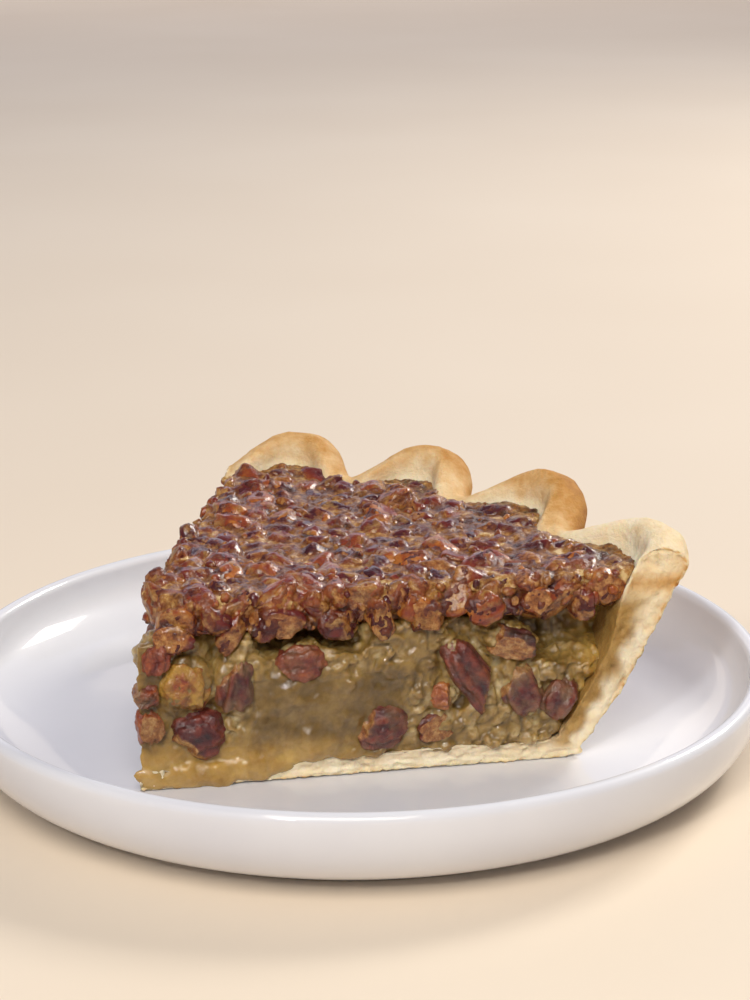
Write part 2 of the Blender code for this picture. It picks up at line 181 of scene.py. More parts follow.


# Clear glazed white stoneware: white with a faint painted cool cast that stands in for bluish light around
# it, and a hard, wet shine that wavers a little
glazed, tree, shader, spot = new_material(
    "clear glazed white stoneware",
    Roughness=0.4,
    IOR=1.35,
    Coat_Weight=0.75,
    Coat_Roughness=0.05,
)
cloud = add_node(tree, "ShaderNodeTexNoise", features(spot, 22 * MM, 3.0))
# The white is the glaze's own; its slight blue tint is painted cool light.
white_with_painted_cool_cast = add_node(tree, "ShaderNodeValToRGB", {"Fac": cloud}, {0.3: "#DDDEE5", 0.7: "#E6E7EC"})
swell = add_node(tree, "ShaderNodeTexNoise", features(spot, 7 * MM))
wave = add_node(tree, "ShaderNodeBump", {"Height": swell, "Strength": 0.25, "Distance": 0.12 * MM})
feed(shader, {"Base Color": white_with_painted_cool_cast, "Normal": wave, "Coat Normal": wave})

# Bare stoneware of the foot: chalky and warm, with a fine sandy grain
bare, tree, shader, spot = new_material("bare stoneware", Roughness=0.85)
grit = add_node(tree, "ShaderNodeTexNoise", features(spot, 0.5 * MM, 4.0))
clay = add_node(tree, "ShaderNodeValToRGB", {"Fac": grit}, {0.35: "#BFAF97", 0.65: "#D8CCB8"})
sand = add_node(tree, "ShaderNodeBump", {"Height": grit, "Strength": 0.6, "Distance": 0.1 * MM})
feed(shader, {"Base Color": clay, "Normal": sand})

line = bpy.data.meshes.new("plate outline")
outline = [(r, 0, z) for r, z in plate_profile()]
line.from_pydata(outline, [(i, i + 1) for i in range(len(outline) - 1)], [])
turned = object_of(line, "plate outline")
screw = turned.modifiers.new("turned", "SCREW")
screw.steps = screw.render_steps = PLATE_STEPS
screw.use_merge_vertices = True
screw.merge_threshold = 0.000005
screw.use_smooth_shade = True
plate_mesh = evaluated_mesh(turned)
plate = object_of(plate_mesh, "coupe_plate", glazed, bare)
for face in plate_mesh.polygons:
    if face.center.z < 0.5 * FOOT_EDGE:
        face.material_index = 1
serve(plate, "glaze", "plate")


# The pastry shell: shortcrust, rolled out, pressed into a deep tin and pinched into flutes with a
# finger and thumb. It is baked gold outside and browner on its crests, and stays pale where it is
# thick. The knife leaves a crumbly cut, and the custard has soaked into its inner side.

SLICE_TIP = Vector(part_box("crust")[0])
FRONT_CUT_TURN = math.radians(10)
SLICE_ANGLE = math.radians(72)
# The plain section from the middle to below the lip, as radius and height in millimetres
OUTSIDE = ((0, 0), (30, 0), (60, 0), (91, 0), (94, 2.2), (99, 9), (105, 18.5), (108.6, 27), (110.4, 34))
INSIDE = ((0, 4), (30, 4), (60, 4), (86, 4), (89.5, 6.4), (93.5, 12), (98, 20), (100.6, 27), (101.6, 33))
LIP_CENTRE = 107.7 * MM
LIP_HALF_WIDTH = 4.8 * MM
LIP_HEIGHT = 43.6 * MM
FLUTE_REACH = 5.9 * MM
FLUTE_ROUNDNESS = 1.5
FLUTE_RISE = 3.4 * MM
OUTER_FLUTE_FOOT = 20 * MM
INNER_FLUTE_FOOT = 33 * MM
FLUTE_FULL = 38 * MM
# Where the flutes turn, in degrees from the front cut: a crest leans out, a pinch leans in
FLUTE_TURNS = (-7, 6, 18, 28, 37.5, 46, 55, 64, 73)
CRUST_STEP = 0.6 * MM
CUT_COLUMNS = 14

# From the slice's own frame, with the pie's centre at its origin and the front cut along +X
slice_place = Matrix.Translation(SLICE_TIP) @ Matrix.Rotation(FRONT_CUT_TURN, 4, "Z")


def smoothstep(low, high, value):
    share = min(1.0, max(0.0, (value - low) / (high - low)))
    return share * share * (3 - 2 * share)


def flute(theta):
    """From -1 in a pinch to 1 on a crest."""
    degrees = math.degrees(theta)
    sign = -1
    for low, high in zip(FLUTE_TURNS, FLUTE_TURNS[1:]):
        if low <= degrees <= high:
            swing = sign * math.cos(math.pi * (degrees - low) / (high - low))
            return 1 - 2 * ((1 - swing) / 2) ** FLUTE_ROUNDNESS
        sign = -sign
    return -1.0


def fluted(radius, height, theta, foot):
    """Where a point of the plain section goes once the lip is pinched."""
    strength = smoothstep(foot, FLUTE_FULL, height)
    if not strength:
        return radius, height
    step = math.radians(0.5)
    slope = FLUTE_REACH * (flute(theta + step) - flute(theta - step)) / (2 * step * LIP_CENTRE)
    widening = 1 + (math.hypot(1, slope) - 1) * strength
    lean = flute(theta) * strength
    return (
        LIP_CENTRE + (radius - LIP_CENTRE) * widening + FLUTE_REACH * lean,
        height + FLUTE_RISE * lean,
    )


def pastry_section():
    """The plain section as two lines of (radius, height), outer and inner, that meet on the lip."""
    lip_low = LIP_HEIGHT - LIP_HALF_WIDTH
    diagonal = LIP_HALF_WIDTH * math.sqrt(0.5)
    lines = []
    for wall, way in ((OUTSIDE, 1), (INSIDE, -1)):
        low = [(radius * MM, height * MM) for radius, height in wall]
        lip = [(LIP_CENTRE + way * LIP_HALF_WIDTH, lip_low)]
        lip += [(LIP_CENTRE + way * diagonal, lip_low + diagonal), (LIP_CENTRE, LIP_HEIGHT)]
        lines.append(low + lip)
    return lines


def along(points, place):
    """A point on a smooth line through the points, at a place counted in points."""
    i = min(int(place), len(points) - 2)
    t = place - i
    a, b, c, d = (Vector(points[min(max(j, 0), len(points) - 1)]) for j in (i - 1, i, i + 1, i + 2))
    return 0.5 * (2 * b + (c - a) * t + (2 * a - 5 * b + 4 * c - d) * t * t + (3 * b - 3 * c + d - a) * t**3)


def even_places(points, step):
    """Places on a smooth line about a step apart."""
    fine = [i / 40 for i in range(40 * (len(points) - 1) + 1)]
    places, walked, last = [0.0], 0.0, along(points, 0.0)
    for place in fine[1:]:
        here = along(points, place)
        walked += (here - last).length
        last = here
        if walked >= step:
            places.append(place)
            walked = 0.0
    places[-1] = float(len(points) - 1)
    return places


def slice_angles(fine, coarse, blend):
    """Angles across the slice, closer together near the cuts."""
    angles = [0.0]
    while angles[-1] < SLICE_ANGLE / 2:
        angles.append(angles[-1] + fine + (coarse - fine) * smoothstep(0, blend, angles[-1]))
    scale = SLICE_ANGLE / 2 / angles[-1]
    half = [a * scale for a in angles]
    return half + [SLICE_ANGLE - a for a in reversed(half[:-1])]


def between(points, height):
    """Radius at a height on a line of (radius, height) points that climbs."""
    for (r0, h0), (r1, h1) in zip(points, points[1:]):
        if h0 <= height <= h1 and h1 > h0:
            return r0 + (r1 - r0) * (height - h0) / (h1 - h0)
    return points[0][0] if height < points[0][1] else points[-1][0]


def inner_radius(theta, height):
    """Radius of the pastry's inside at an angle and a height, flutes included."""
    inside = [fluted(r, h, theta, INNER_FLUTE_FOOT) for r, h in pastry_section()[1]]
    return between(inside[3:-1], height)


def weave(bm, grid):
    """Faces between neighbouring rows of points."""
    for low, high in zip(grid, grid[1:]):
        for i in range(len(low) - 1):
            bm.faces.new((low[i], low[i + 1], high[i + 1], high[i]))


def close_seams(bm):
    """Merges points that coincide, then turns every face outward."""
    bmesh.ops.remove_doubles(bm, verts=bm.verts[:], dist=0.01 * MM)
    bmesh.ops.dissolve_degenerate(bm, dist=0.01 * MM, edges=bm.edges[:])
    bmesh.ops.recalc_face_normals(bm, faces=bm.faces[:])


def mesh_of(bm, name):
    mesh = bpy.data.meshes.new(name)
    bm.to_mesh(mesh)
    bm.free()
    mesh.shade_smooth()
    return mesh


def new_layers(bm, *names):
    """Layers of values on the points. All are made before any is fetched, because making one moves
    the others."""
    for name in names:
        bm.verts.layers.float.new(name)
    return [bm.verts.layers.float[name] for name in names]


def crust_form():
    """The shell as a closed solid, with its layers. They hold each point's place across the wall
    and along the section, and 1 on the cut faces. The last two are still empty."""
    outer, inner = pastry_section()
    places = even_places(outer, CRUST_STEP)
    angles = slice_angles(math.radians(0.25), math.radians(0.62), math.radians(4))
    bm = bmesh.new()
    layers = new_layers(bm, "across", "walk", "cut", "bake", "soak")
    across, walk, cut = layers[:3]

    def point(place, share, theta, on_cut):
        low = Vector(fluted(*along(outer, place), theta, OUTER_FLUTE_FOOT))
        high = Vector(fluted(*along(inner, place), theta, INNER_FLUTE_FOOT))
        radius, height = low.lerp(high, share)
        vertex = bm.verts.new((radius * math.cos(theta), radius * math.sin(theta), height))
        vertex[across] = share
        vertex[walk] = place
        vertex[cut] = on_cut
        return vertex

    for share in (0.0, 1.0):
        weave(bm, [[point(place, share, theta, 0.0) for place in places] for theta in angles])
    shares = [k / CUT_COLUMNS for k in range(CUT_COLUMNS + 1)]
    for theta in (0.0, SLICE_ANGLE):
        weave(bm, [[point(place, share, theta, 1.0) for place in places] for share in shares])
    close_seams(bm)
    return bm, layers


def layered(point, size, octaves):
    """Noise from about -1 to 1 with features of a size, and halves of it."""
    total, share = 0.0, 1.0
    for octave in range(octaves):
        total += share * noise.noise(point * (2**octave / size))
        share *= 0.5
    return total


def off_cut(point):
    """How far a point lies behind the nearer cut face, in millimetres."""
    left = point.x * math.sin(SLICE_ANGLE) - point.y * math.cos(SLICE_ANGLE)
    return min(point.y, left) / MM


def crust_relief(point, across, walk, on_cut):
    """How far the baked surface stands out, in metres."""
    if not on_cut:
        soft = 0.5 * layered(point, 12 * MM, 2) + 0.2 * layered(point, 2.2 * MM, 2)
        broken = math.exp(-max(0.0, off_cut(point)) / 0.8) * layered(point, 1.4 * MM, 2)
        return (soft + 0.5 * broken - 0.05) * MM
    flakes = layered(Vector((walk * 5.0, across * 4.5, point.x * 40)), 1.0, 2)
    crumbs = layered(point, 1.4 * MM, 3)
    hole = noise.voronoi(point / (2.0 * MM))[0][0]
    pore = smoothstep(0.5, 0.12, hole) * smoothstep(-0.25, 0.2, noise.noise(point / (5 * MM)))
    rim = smoothstep(0, 0.12, across) * smoothstep(1, 0.88, across)
    return (0.35 * flakes + 0.55 * crumbs - 1.1 * pore * rim - 0.2) * MM


def crust_bake(point, across, walk, on_cut):
    """How brown the crust is, from 0 for pale crumb to 1 for the darkest crest."""
    theta = math.atan2(point.y, point.x)
    degrees = math.degrees(theta)
    height = point.z / MM
    blotch = 0.5 * noise.noise(point / (9 * MM)) + 0.3 * noise.noise(point / (3 * MM))
    crest = smoothstep(-0.6, 0.9, flute(theta))
    if on_cut:
        skin = math.exp(-across * 12) * 0.35
        seam = 0.42 * math.exp(-(((height - 37.5) / 2.2) ** 2)) + 0.12 * smoothstep(38, 42, height)
        return max(0.0, 0.08 + skin + seam + 0.2 * blotch)
    behind = smoothstep(10, 20, degrees)
    round_lip = smoothstep(8.5, 11, walk)
    outside = 0.06 + 0.1 * smoothstep(26, 42, height) + 0.06 * crest * smoothstep(36, 44, height)
    outside += 0.5 * behind + 0.15 * smoothstep(16, 21, degrees) * (1 - smoothstep(25, 31, degrees))
    inside = 0.04 + 0.24 * smoothstep(38, 43, height) * (0.35 + 0.65 * crest) * (0.1 + 0.9 * behind)
    turned = across + (0.4 - across) * round_lip
    return max(0.0, outside + (inside - outside) * turned + 0.26 * blotch)


bm, (across, walk, cut, bake, soak) = crust_form()
bm.normal_update()
moved = []
for vertex in bm.verts:
    share, on_cut = vertex[across], vertex[cut] > 0.5
    relief = crust_relief(vertex.co, share, vertex[walk], on_cut)
    if vertex.co.z < 0.5 * MM and not on_cut:
        relief = min(relief, 0.0)
    vertex[bake] = crust_bake(vertex.co, share, vertex[walk], on_cut)
    wet = smoothstep(0.34, 0.74, share + 0.3 * noise.noise(vertex.co / (4 * MM)))
    wall = smoothstep(84, 92, vertex.co.xy.length / MM)
    vertex[soak] = wet * (1 - smoothstep(32, 38, vertex.co.z / MM)) * (0.25 + 0.75 * wall)
    moved.append(vertex.co + vertex.normal * relief)
for vertex, place in zip(bm.verts, moved):
    vertex.co = place
bm.transform(slice_place)
crust_mesh = mesh_of(bm, "crust")

# Baked shortcrust: dry and matt, cream where it is pale, then gold and nut brown, with a fine
# mealy grain. Where the custard touches it the crumb has soaked up syrup and turned tan.
pastry, tree, shader, spot, baked, soaked = new_material(
    "baked shortcrust",
    "bake",
    "soak",
    Subsurface_Weight=0.25,
    Subsurface_Radius=(1.0, 0.5, 0.22),
    Subsurface_Scale=1.6 * MM,
    IOR=1.35,
)
mottle = add_node(tree, "ShaderNodeTexNoise", features(spot, 1.6 * MM, 5.0, 0.62))
spread = add_node(tree, "ShaderNodeMath", {0: mottle, 1: 0.5}, operation="SUBTRACT")
browning = add_node(tree, "ShaderNodeMath", {0: spread, 1: 0.45, 2: baked}, operation="MULTIPLY_ADD")
browns = {0.0: "#FCEED0", 0.2: "#F4DEB4", 0.42: "#E2BB84", 0.62: "#C8924C", 0.85: "#9E6630"}
crumb = add_node(tree, "ShaderNodeValToRGB", {"Fac": browning}, browns)
syrupy = add_node(tree, "ShaderNodeValToRGB", {"Fac": mottle}, {0.3: "#9A7238", 0.7: "#BE9858"})
wetted = add_node(tree, "ShaderNodeMix", {"Factor": soaked, "A": crumb, "B": syrupy}, data_type="RGBA")
dry = add_node(tree, "ShaderNodeMapRange", {"Value": soaked, "To Min": 0.72, "To Max": 0.36})
meal = add_node(tree, "ShaderNodeTexNoise", features(spot, 0.6 * MM, 4.0, 0.65))
grain = add_node(tree, "ShaderNodeBump", {"Height": meal, "Strength": 1.0, "Distance": 0.5 * MM})
feed(shader, {"Base Color": wetted.outputs[2], "Roughness": dry, "Normal": grain})
serve(object_of(crust_mesh, "fluted_shortcrust", pastry), "pastry", "crust")


# The custard: eggs, butter and syrup, set soft. In the middle of the front cut it is a smooth wet
# jelly, and towards the top and the wall it has curdled into paler grains. It holds the kernels in
# collars of itself, sags over the tip of the pastry, and has shrunk away from under the nuts.

FILLING_TOP = 31.6 * MM
FILLING_VOXEL = 0.53 * MM
CURD_SEED = 21
FRONT_CURDS = 330
LEFT_CURDS = 210
# No loose curds lie further back from a cut than this, in millimetres
DEEPEST_CURD = 7

# Kernels in the front cut: along it, height, length, width, thickness, tilt of the length in
# degrees, how much is broken face, how thick its coat of custard is, and how light its skin is
FRONT_KERNELS = (
    (4.2, 28.0, 8.2, 6.6, 8.0, 80, 0.4, 0.1, 0.6),
    (2.2, 20.2, 6.6, 5.2, 8.0, 20, 0.3, 0.4, 0.5),
    (2.8, 12.6, 9.6, 6.2, 8.0, 100, 0.6, 0.25, 0.8),
    (10.2, 21.0, 12.6, 11.0, 7.4, 78, 0.1, 1.0, 0.7),
    (12.6, 10.8, 11.8, 11.0, 8.4, 20, 0.0, 0.0, 0.42),
    (20.4, 21.6, 14.6, 8.2, 7.4, 86, 0.2, 0.4, 0.4),
    (34.1, 24.6, 10.8, 8.6, 8.0, 10, 0.4, 0.25, 0.6),
    (51.0, 9.8, 12.0, 10.4, 8.6, 8, 0.0, 0.3, 0.45),
    (62.7, 8.6, 10.0, 6.6, 6.6, 12, 0.6, 0.1, 0.4),
    (70.4, 19.3, 18.5, 8.6, 8.4, -57, 0.1, 0.12, 0.45),
    (64.0, 15.6, 6.6, 6.0, 5.6, 0, 0.4, 0.2, 0.95),
    (78.4, 26.2, 13.2, 7.2, 7.0, -18, 0.6, 0.15, 0.2),
    (80.6, 15.8, 13.4, 9.4, 8.4, -68, 0.4, 0.5, 0.5),
    (89.0, 12.8, 9.4, 8.0, 7.6, 65, 0.1, 0.4, 0.4),
)
# Kernels in the front cut that take another seed than their own number, for a rounder shape
ROUND_KERNEL_SEEDS = {5: 25, 8: 34}
LEFT_KERNEL_COUNT = 6
LEFT_KERNEL_SEED = 5
# How far a kernel's middle lies behind the cut, as a share of its thickness
KERNEL_DEPTH = 0.24
# A kernel nearer to the tip than this has no custard round it
BARE_TIP = 3.0


def left_kernels():
    draw = random.Random(LEFT_KERNEL_SEED)
    heights = (26.0, 11.0, 20.0)
    rows = []
    for i in range(LEFT_KERNEL_COUNT):
        length = draw.uniform(9.0, 12.5)
        width = draw.uniform(6.2, 7.6)
        place = 16.0 + 8.8 * i + draw.uniform(-0.6, 0.6)
        height = heights[i % 3] + draw.uniform(-1.0, 1.0)
        rows.append((place, height, length, width, 7.0, draw.uniform(-25, 25), 0.3, 0.4, 0.5))
    return rows


def side_frame(side):
    """Turns a place on a cut, as (along, inward, up), into the slice's frame."""
    if side:
        return Matrix.Rotation(SLICE_ANGLE, 4, "Z") @ Matrix.Scale(-1, 4, (0, 1, 0))
    return Matrix.Identity(4)


def curdled(x, height, side):
    """0 where the custard is a smooth jelly and 1 where it is grainy, in millimetres on a cut."""
    patch = 0.45 * noise.noise(Vector((x * 0.11, height * 0.11, 5.0 if side else 1.0)))
    if side:
        return min(1.0, max(0.0, 0.55 + 1.4 * patch))
    jelly = smoothstep(18, 28, x) * (1 - smoothstep(50, 62, x)) * (1 - smoothstep(18, 26, height))
    film = (1 - smoothstep(6, 10, height)) * (1 - smoothstep(34, 50, x))
    tip = 0.6 * (1 - smoothstep(8, 20, x))
    return min(1.0, max(0.0, 1 - max(jelly, film, tip) + patch))


def recess(x, height, side):
    """How far the custard stands back from a cut, all in millimetres."""
    rough = 0.9 * noise.noise(Vector((x * 0.15, height * 0.15, 7.0 if side else 2.0)))
    rough += 0.5 * noise.noise(Vector((x * 0.45, height * 0.45, 3.0)))
    if side:
        x = 100 - x
    under = 11 * smoothstep(26, 28.5, height) * smoothstep(23, 29, x) * (1 - smoothstep(43, 50, x))
    corner = 6.0 * smoothstep(22, 28, height) * smoothstep(5, 8, x) * (1 - smoothstep(16, 20, x))
    hollow = 11 * smoothstep(20, 24.5, height) * smoothstep(75, 82, x)
    beside = 3.6 * smoothstep(62, 66, x) * (1 - smoothstep(76, 84, x)) * smoothstep(11, 16, height)
    tip = 3.0 * smoothstep(6, 12, height) * (1 - smoothstep(10, 24, x))
    by_wall = 1.6 * smoothstep(87, 94, x)
    swelling = 1.7 * smoothstep(18, 32, x) * (1 - smoothstep(42, 52, x)) * (1 - smoothstep(20, 28, height))
    return max(-1.4, 0.8 + rough + max(under, corner, hollow, beside, tip, by_wall) - swelling)


def custard_body():
    """The wedge of custard, standing back from the cuts by its recess."""
    inside = pastry_section()[1][3:9]
    floor = INSIDE[0][1] * MM - 0.5 * MM
    rows, columns = 26, 90
    angles = slice_angles(math.radians(0.5), math.radians(3), math.radians(8))
    bm = bmesh.new()
    heights = [floor + (FILLING_TOP - floor) * j / rows for j in range(rows + 1)]
    shares = [i / columns for i in range(columns + 1)]

    def point(share, height, theta):
        radius = share * (between(inside, height) + 0.3 * MM)
        co = Vector((radius * math.cos(theta), radius * math.sin(theta), height))
        for side in (0, 1):
            normal = side_frame(side).to_3x3() @ Vector((0, 1, 0))
            fade = 1 - smoothstep(0, 17 * MM, co.dot(normal))
            back = min(recess(radius / MM, height / MM, side) * MM, 0.3 * radius + 0.3 * MM)
            co = co + normal * back * fade
        return bm.verts.new(co)

    for theta in (0.0, SLICE_ANGLE):
        weave(bm, [[point(share, h, theta) for share in shares] for h in heights])
    for h in (heights[0], heights[-1]):
        weave(bm, [[point(share, h, theta) for share in shares] for theta in angles])
    weave(bm, [[point(1.0, h, theta) for h in heights] for theta in angles])
    close_seams(bm)
    return bm


def add_lump(bm, centre, size, turn, side, detail=2):
    """Adds an uneven lump whose size is along, inward and up, at a place on a cut."""
    place = side_frame(side) @ Matrix.Translation(centre) @ Matrix.Rotation(turn, 4, "Y")
    shape = bmesh.ops.create_icosphere(bm, subdivisions=detail, radius=1.0)["verts"]
    for vertex in shape:
        bulge = 1 + 0.22 * noise.noise(vertex.co * 1.3 + centre * 900)
        vertex.co = place @ Vector([c * s * bulge for c, s in zip(vertex.co, size)])


def add_curds(bm):
    draw = random.Random(CURD_SEED)
    inside = pastry_section()[1][3:9]
    for side, count in ((0, FRONT_CURDS), (1, LEFT_CURDS)):
        for _ in range(count):
            height = draw.uniform(4.5, 31)
            x = draw.uniform(2, between(inside, height * MM) / MM - 2)
            grain = curdled(x, height, side)
            if draw.random() > 0.04 + 0.96 * grain or recess(x, height, side) > DEEPEST_CURD:
                continue
            size = draw.uniform(0.8, 2.2)
            depth = recess(x, height, side) + size * draw.uniform(0.35, 0.8)
            shape = [size * draw.uniform(0.9, 1.6) * MM, size * MM, size * draw.uniform(0.6, 1.1) * MM]
            add_lump(bm, Vector((x, depth, height)) * MM, shape, draw.uniform(-0.8, 0.8), side)


def add_collars(bm):
    """Custard that clings round each kernel, and covers most of a coated one."""
    rows = [(0, row) for row in FRONT_KERNELS] + [(1, row) for row in left_kernels()]
    for side, (x, height, length, width, thickness, tilt, _, coat, _) in rows:
        if x < BARE_TIP:
            continue
        depth = KERNEL_DEPTH * thickness + 2.7 - 1.8 * coat
        shape = [(length / 2 + 0.7) * MM, (thickness / 2 + 0.4) * MM, (width / 2 + 0.7) * MM]
        add_lump(bm, Vector((x, depth, height)) * MM, shape, math.radians(-tilt), side, 3)


# Custard that has run down over the cut edge of the pastry: along the cut, height, half length,
# half height and how far it stands out, in millimetres
RUNS = (
    (3.2, 2.6, 4.0, 3.0, 0.7),
    (8.5, 2.0, 6.0, 3.0, 1.0),
    (15.5, 2.1, 6.5, 2.9, 1.1),
    (22.5, 2.6, 6.0, 2.7, 1.0),
    (29.5, 3.2, 5.5, 2.2, 0.8),
    (36.0, 4.2, 5.0, 1.6, 0.6),
    (42.0, 4.8, 5.0, 1.0, 0.4),
    (74.5, 4.6, 4.0, 1.2, 0.7),
    (84.0, 4.6, 3.0, 0.9, 0.6),
)


def blended(bm, voxel, smoothing):
    """One skin over everything in the mesh, with soft fillets where its lumps meet."""
    obj = object_of(mesh_of(bm, "blend"), "blend")
    remesh = obj.modifiers.new("skin", "REMESH")
    remesh.mode = "VOXEL"
    remesh.voxel_size = voxel
    smooth = obj.modifiers.new("soft", "SMOOTH")
    smooth.factor = 0.5
    smooth.iterations = smoothing
    return evaluated_mesh(obj)


def reshape(mesh, amount, layers):
    """Moves each point along its normal by amount(point), and stores layers of values by name."""
    places = [vertex.co + vertex.normal * amount(vertex.co) for vertex in mesh.vertices]
    for name, value in layers.items():
        made = mesh.attributes.new(name, "FLOAT", "POINT").data
        for vertex in mesh.vertices:
            made[vertex.index].value = value(vertex.co)
    for vertex, place in zip(mesh.vertices, places):
        vertex.co = place
    mesh.shade_smooth()


def custard_grain(point):
    """How curdled the custard is at a point, by the cut that it is nearer to."""
    left = Vector((math.cos(SLICE_ANGLE), math.sin(SLICE_ANGLE), 0))
    if point.x * left.y - point.y * left.x < abs(point.y):
        return curdled(point.dot(left) / MM, point.z / MM, 1)
    return curdled(point.x / MM, point.z / MM, 0)


def custard_gold(point):
    """1 where the custard is thin and golden: over the tip of the pastry and beside the wall."""
    film = (1 - smoothstep(6, 11, point.z / MM)) * (1 - smoothstep(34, 52, point.x / MM))
    wall = smoothstep(86, 94, point.xy.length / MM - 0.2 * point.z / MM)
    return max(film, wall)


def custard_crease(point):
    """1 in the narrow creases between curds and 0 on the curds."""
    wide = noise.noise(point / (4.0 * MM))
    fine = noise.noise(point / (1.8 * MM) + Vector((5, 0, 0)))
    return max(math.exp(-((wide / 0.09) ** 2)), 0.5 * math.exp(-((fine / 0.14) ** 2)))


def custard_crest_and_crease_shade(point):
    """1 on the top of a curd, where it is pale and dry, and low in the creases between curds, where it
    darkens the colour as painted shade.
    """
    high = 0.6 + 0.5 * layered(point, 2.4 * MM, 2) - 0.6 * custard_crease(point)
    return (0.2 + 0.8 * custard_grain(point)) * min(1.0, max(0.0, high))


def custard_relief(point):
    soft = 0.8 * noise.noise(point / (5 * MM)) + 0.42 * layered(point, 2.2 * MM, 2)
    curd = 0.65 * layered(point, 2.8 * MM, 3) - 0.65 * custard_crease(point) + 0.2
    return (soft + custard_grain(point) * curd) * MM


bm = custard_body()
add_curds(bm)
add_collars(bm)
for x, height, length, rise, proud in RUNS:
    add_lump(bm, Vector((x, 1.6 - proud, height)) * MM, (length * MM, 1.6 * MM, rise * MM), 0.04, 0, 3)
filling_mesh = blended(bm, FILLING_VOXEL, 2)
# The crest layer is paler on the dry curd tops and carries painted shade in the creases between curds.
custard_layers = {"grain": custard_grain, "crest": custard_crest_and_crease_shade, "gold": custard_gold}
reshape(filling_mesh, custard_relief, custard_layers)
filling_mesh.transform(slice_place)

# Set syrup custard: wet and half clear, so light sinks a little way in. The jelly is a deep olive
# tan, and the curdled grains are paler and rougher, with a sparkle on their wet tips. The darker
# colour in the creases between grains is painted shade.
custard, tree, shader, spot, curds, crest, golden = new_material(
    "set syrup custard",
    "grain",
    "crest",
    "gold",
    Subsurface_Weight=0.8,
    Subsurface_Radius=(1.0, 0.66, 0.25),
    Subsurface_Scale=2.2 * MM,
    IOR=1.3,
    Coat_Weight=1.0,
    Coat_Roughness=0.045,
)
patches = add_node(tree, "ShaderNodeTexNoise", features(spot, 3.2 * MM, 5.0, 0.65))
paleness_and_crease_shade = add_node(tree, "ShaderNodeMath", {0: patches, 1: 1.1, 2: -0.3}, operation="MULTIPLY_ADD")
# The crest darkens the colour in the creases between curds: painted shade.
paleness_and_crease_shade = add_node(tree, "ShaderNodeMath", {0: crest, 1: 0.65, 2: paleness_and_crease_shade}, operation="MULTIPLY_ADD")
olives = {0.0: "#584218", 0.3: "#7E6230", 0.6: "#9E8048", 1.0: "#D2BC8C"}
body = add_node(tree, "ShaderNodeValToRGB", {"Fac": paleness_and_crease_shade}, olives)
thin = add_node(tree, "ShaderNodeValToRGB", {"Fac": patches}, {0.3: "#98702A", 0.7: "#CCA85E"})
tinted = add_node(tree, "ShaderNodeMix", {"Factor": golden, "A": body, "B": thin}, data_type="RGBA")
gloss = add_node(tree, "ShaderNodeMapRange", {"Value": curds, "To Min": 0.2, "To Max": 0.4})
ripples = add_node(tree, "ShaderNodeTexNoise", features(spot, 0.8 * MM, 5.0, 0.7))
wet = add_node(tree, "ShaderNodeBump", {"Height": ripples, "Strength": 0.5, "Distance": 0.4 * MM})
beads = add_node(tree, "ShaderNodeTexNoise", features(spot, 0.45 * MM, 3.0, 0.6))
tips = {"Height": beads, "Strength": 0.3, "Distance": 0.15 * MM, "Normal": wet}
sparkle = add_node(tree, "ShaderNodeBump", tips)
feed(shader, {"Base Color": tinted.outputs[2], "Roughness": gloss, "Normal": wet, "Coat Normal": sparkle})
serve(object_of(filling_mesh, "soft_custard", custard), "custard", "filling")


# Kernels in the cuts: halves of pecan chopped into three or four, each with its grooved brown skin
# and a paler broken face. They sit in the custard where the knife left them, some still coated.

# The grooves along a kernel: how deep, and their place round it and width in radians
GROOVES = ((1.0, 1.57, 0.26), (0.6, 0.75, 0.15), (0.6, 2.4, 0.15), (0.8, -1.5, 0.3))
# Kernels in the left cut count their seeds on from this, and a kernel as broken as this is sliced
LEFT_SHAPE_SEED = 50
SLICED_FROM = 0.45


def chopped_pecan(size, seed, broken, detail, sliced=False):
    """A chopped kernel centred on the origin, its length along X, and flat towards +Z if the knife
    sliced it. Its flesh layer is 1 where the skin is off, and its groove layer 1 in a groove."""
    draw = random.Random(seed)
    bm = bmesh.new()
    bmesh.ops.create_icosphere(bm, subdivisions=detail, radius=1.0)
    flesh, dip = new_layers(bm, "flesh", "groove")
    offset = Vector((seed * 3.7, seed * 1.3, seed * 0.7))
    breaks = []
    for _ in range(1 + round(3 * broken + draw.random())):
        normal = Vector((draw.choice((-1, 1)), draw.uniform(-0.8, 0.8), draw.uniform(-0.7, 0.7)))
        breaks.append((normal.normalized(), draw.uniform(0.5, 0.82)))
    if sliced:
        facing = Vector((draw.uniform(-0.4, 0.4), draw.uniform(-0.4, 0.4), 1))
        breaks.append((facing.normalized(), draw.uniform(0.35, 0.65)))
    for vertex in bm.verts:
        x, y, z = vertex.co
        angle = math.atan2(z, y) + 0.5 * noise.noise(vertex.co + offset)
        boxy = (abs(x) ** 2.6 + abs(y) ** 2.6 + abs(z) ** 2.6) ** (-1 / 2.6)
        groove = sum(deep * math.exp(-(((angle - place) / wide) ** 2)) for deep, place, wide in GROOVES)
        groove *= 1 - x * x
        lumps = 0.17 * noise.noise(vertex.co * 1.6 + offset) + 0.07 * noise.noise(vertex.co * 4 + offset)
        co = vertex.co * boxy * (0.94 - 0.15 * groove + lumps)
        for normal, reach in breaks:
            over = co.dot(normal) - reach * (1 + 0.15 * noise.noise(co * 3 + offset))
            if over > -0.04:
                vertex[flesh] = max(vertex[flesh], smoothstep(-0.04, 0.05, over))
            if over > 0:
                co -= normal * over * 0.92
        co *= 1 + 0.04 * noise.noise(Vector((co.x * 3, co.y * 8, co.z * 8)) + offset)
        vertex[dip] = groove
        vertex.co = Vector([c * s / 2 for c, s in zip(co, size)])
    return bm


